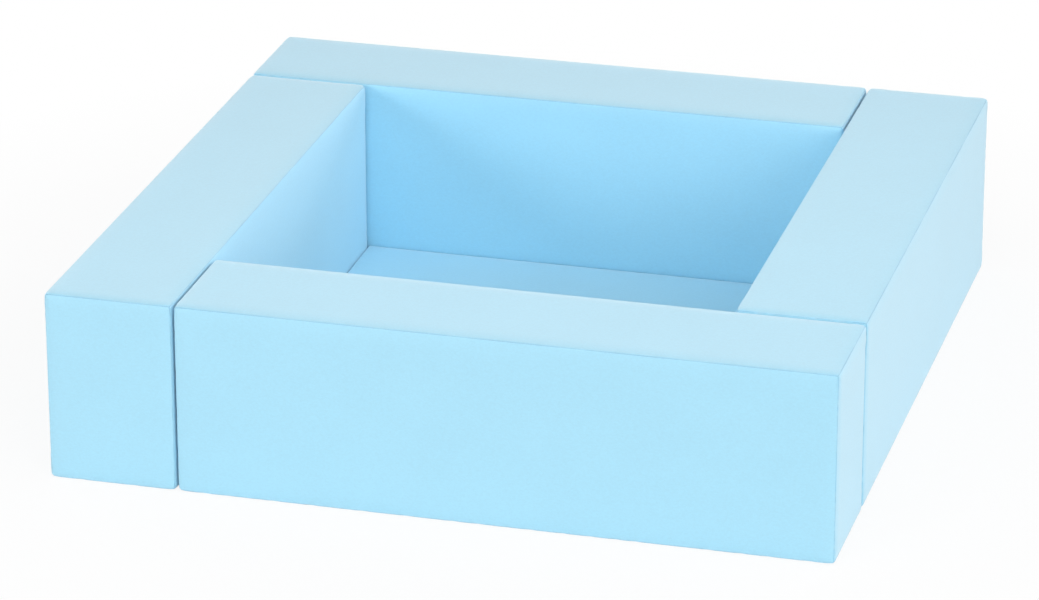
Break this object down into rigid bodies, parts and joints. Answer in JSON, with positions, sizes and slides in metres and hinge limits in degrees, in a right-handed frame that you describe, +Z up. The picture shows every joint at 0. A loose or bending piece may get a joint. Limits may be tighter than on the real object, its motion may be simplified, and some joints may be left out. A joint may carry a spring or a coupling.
{
  "type": "ball pit",
  "caption": "Square soft-play ball pit of upholstered foam wall blocks laid pinwheel fashion round a thin foam floor mat, held together by hook-and-loop strips.",
  "frame": {"origin": "middle of the ground that the pit covers, at the height of the blocks' undersides", "axes": "+Z up, -Y towards the front wall, +X towards the right wall"},
  "size_m": [1.203, 1.203, 0.2985],
  "materials": {
    "leatherette": "pale blue coated fabric, fine grain, satin",
    "foam": "cream open-cell foam, matte",
    "zip_tape": "woven polyester tape with nylon coil teeth",
    "zip_metal": "nickel plate, satin",
    "hook_strip": "woven nylon hook tape",
    "loop_strip": "brushed nylon loop tape"
  },
  "bodies": {
    "back_wall": {"back_wall_cover": "leatherette", "back_wall_foam": "foam", "back_wall_zip_tape_inner": "zip_tape", "back_wall_zip_tape_outer": "zip_tape", "back_wall_hook_strip_inner": "hook_strip", "back_wall_hook_strip_outer": "hook_strip", "back_wall_loop_strip_inner": "loop_strip", "back_wall_loop_strip_outer": "loop_strip"},
    "front_wall": {"front_wall_cover": "leatherette", "front_wall_foam": "foam", "front_wall_zip_tape_inner": "zip_tape", "front_wall_zip_tape_outer": "zip_tape", "front_wall_hook_strip_inner": "hook_strip", "front_wall_hook_strip_outer": "hook_strip", "front_wall_loop_strip_inner": "loop_strip", "front_wall_loop_strip_outer": "loop_strip"},
    "right_wall": {"right_wall_cover": "leatherette", "right_wall_foam": "foam", "right_wall_zip_tape_inner": "zip_tape", "right_wall_zip_tape_outer": "zip_tape", "right_wall_hook_strip_inner": "hook_strip", "right_wall_hook_strip_outer": "hook_strip", "right_wall_loop_strip_inner": "loop_strip", "right_wall_loop_strip_outer": "loop_strip"},
    "left_wall": {"left_wall_cover": "leatherette", "left_wall_foam": "foam", "left_wall_zip_tape_inner": "zip_tape", "left_wall_zip_tape_outer": "zip_tape", "left_wall_hook_strip_inner": "hook_strip", "left_wall_hook_strip_outer": "hook_strip", "left_wall_loop_strip_inner": "loop_strip", "left_wall_loop_strip_outer": "loop_strip"},
    "floor_mat": {"floor_mat_cover": "leatherette", "floor_mat_foam": "foam", "floor_mat_zip_tape_inner": "zip_tape", "floor_mat_zip_tape_outer": "zip_tape"},
    "back_wall_zip_slider": {"back_wall_zip_slider": "zip_metal"},
    "front_wall_zip_slider": {"front_wall_zip_slider": "zip_metal"},
    "right_wall_zip_slider": {"right_wall_zip_slider": "zip_metal"},
    "left_wall_zip_slider": {"left_wall_zip_slider": "zip_metal"},
    "floor_mat_zip_slider": {"floor_mat_zip_slider": "zip_metal"},
    "back_wall_zip_pull": {"back_wall_zip_pull": "zip_metal"},
    "front_wall_zip_pull": {"front_wall_zip_pull": "zip_metal"},
    "right_wall_zip_pull": {"right_wall_zip_pull": "zip_metal"},
    "left_wall_zip_pull": {"left_wall_zip_pull": "zip_metal"},
    "floor_mat_zip_pull": {"floor_mat_zip_pull": "zip_metal"}
  },
  "joints": [
    {"name": "front_wall_pull_away", "type": "slide", "parent": "back_wall", "child": "front_wall", "axis": [0, -1, 0], "range_m": [0, 0.4]},
    {"name": "right_wall_pull_away", "type": "slide", "parent": "back_wall", "child": "right_wall", "axis": [1, 0, 0], "range_m": [0, 0.4]},
    {"name": "left_wall_pull_away", "type": "slide", "parent": "back_wall", "child": "left_wall", "axis": [-1, 0, 0], "range_m": [0, 0.4]},
    {"name": "floor_mat_lift", "type": "slide", "parent": "back_wall", "child": "floor_mat", "axis": [0, 0, 1], "range_m": [0, 0.4]},
    {"name": "back_wall_zip_run", "type": "slide", "parent": "back_wall", "child": "back_wall_zip_slider", "axis": [1, 0, 0], "range_m": [0, 0.8004]},
    {"name": "front_wall_zip_run", "type": "slide", "parent": "front_wall", "child": "front_wall_zip_slider", "axis": [-1, 0, 0], "range_m": [0, 0.8004]},
    {"name": "right_wall_zip_run", "type": "slide", "parent": "right_wall", "child": "right_wall_zip_slider", "axis": [0, -1, 0], "range_m": [0, 0.8004]},
    {"name": "left_wall_zip_run", "type": "slide", "parent": "left_wall", "child": "left_wall_zip_slider", "axis": [0, 1, 0], "range_m": [0, 0.8004]},
    {"name": "floor_mat_zip_run", "type": "slide", "parent": "floor_mat", "child": "floor_mat_zip_slider", "axis": [-1, 0, 0], "range_m": [0, 0.62444]},
    {"name": "back_wall_pull_swing", "type": "hinge", "parent": "back_wall_zip_slider", "child": "back_wall_zip_pull", "pos_m": [-0.5012, 0.502, 0.0028], "axis": [0, -1, 0], "range_deg": [0, 180]},
    {"name": "front_wall_pull_swing", "type": "hinge", "parent": "front_wall_zip_slider", "child": "front_wall_zip_pull", "pos_m": [0.5012, -0.502, 0.0028], "axis": [0, 1, 0], "range_deg": [0, 180]},
    {"name": "right_wall_pull_swing", "type": "hinge", "parent": "right_wall_zip_slider", "child": "right_wall_zip_pull", "pos_m": [0.502, 0.5012, 0.0028], "axis": [-1, 0, 0], "range_deg": [0, 180]},
    {"name": "left_wall_pull_swing", "type": "hinge", "parent": "left_wall_zip_slider", "child": "left_wall_zip_pull", "pos_m": [-0.502, -0.5012, 0.0028], "axis": [1, 0, 0], "range_deg": [0, 180]},
    {"name": "floor_mat_pull_swing", "type": "hinge", "parent": "floor_mat_zip_slider", "child": "floor_mat_zip_pull", "pos_m": [0.31222, 0, 0.00168], "axis": [0, 1, 0], "range_deg": [0, 180]}
  ]
}
